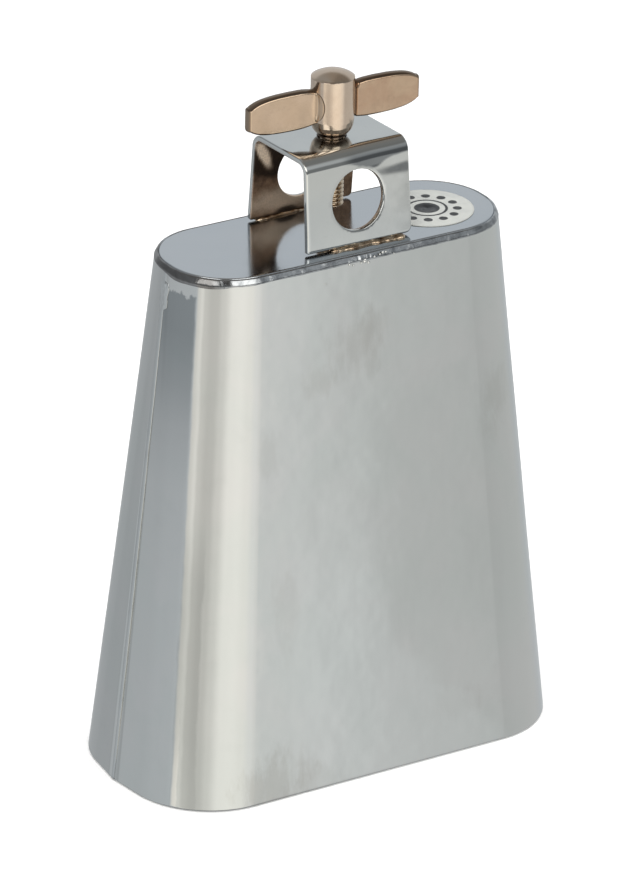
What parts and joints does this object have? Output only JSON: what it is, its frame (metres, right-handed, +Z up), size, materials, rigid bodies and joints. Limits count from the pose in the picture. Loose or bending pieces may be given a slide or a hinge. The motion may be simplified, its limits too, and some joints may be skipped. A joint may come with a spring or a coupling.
{
  "type": "cowbell",
  "caption": "Stick-played cowbell: flared metal body with an oval mouth, closed top, rod bracket with a through hole, and a wing bolt that clamps it to a rod.",
  "frame": {"origin": "centre of the open mouth, in the mouth's plane", "axes": "+Z up from the mouth to the closed top, +X along the mouth's long side, -Y out of the front striking face"},
  "size_m": [0.1122, 0.056, 0.1653],
  "materials": {
    "shell": "bright plated steel sheet, slightly cloudy",
    "plate": "bright plated steel plate",
    "weld": "ground and plated weld metal",
    "bracket": "bright plated steel strap",
    "braze": "brassy braze, part plated",
    "nut": "dull steel",
    "label": "off-white satin film",
    "stud": "threaded steel with a warm plating",
    "bolt": "satin nickel plate over brass"
  },
  "bodies": {
    "bell": {"front_shell": "shell", "rear_shell": "shell", "left_seam_weld": "weld", "right_seam_weld": "weld", "top_plate": "plate", "top_rim_weld": "weld", "mounting_bracket": "bracket", "bracket_braze_front": "braze", "bracket_braze_rear": "braze", "bracket_nut": "nut", "label_disc": "label"},
    "clamp_screw": {"clamp_stud": "stud"},
    "wing_head": {"clamp_hub": "bolt", "left_wing": "bolt", "right_wing": "bolt"}
  },
  "joints": [
    {"name": "clamp_travel", "type": "slide", "parent": "bell", "child": "clamp_screw", "axis": [0, 0, 1], "range_m": [0, 0.013]},
    {"name": "clamp_turn", "type": "hinge", "parent": "clamp_screw", "child": "wing_head", "pos_m": [0.0015, 0.0015, 0.1572], "axis": [0, 0, 1], "range_deg": [0, 4680]}
  ],
  "couplings": [
    {"joint": "clamp_travel", "follows": "clamp_turn", "m_per_rad": 0.00015915}
  ]
}
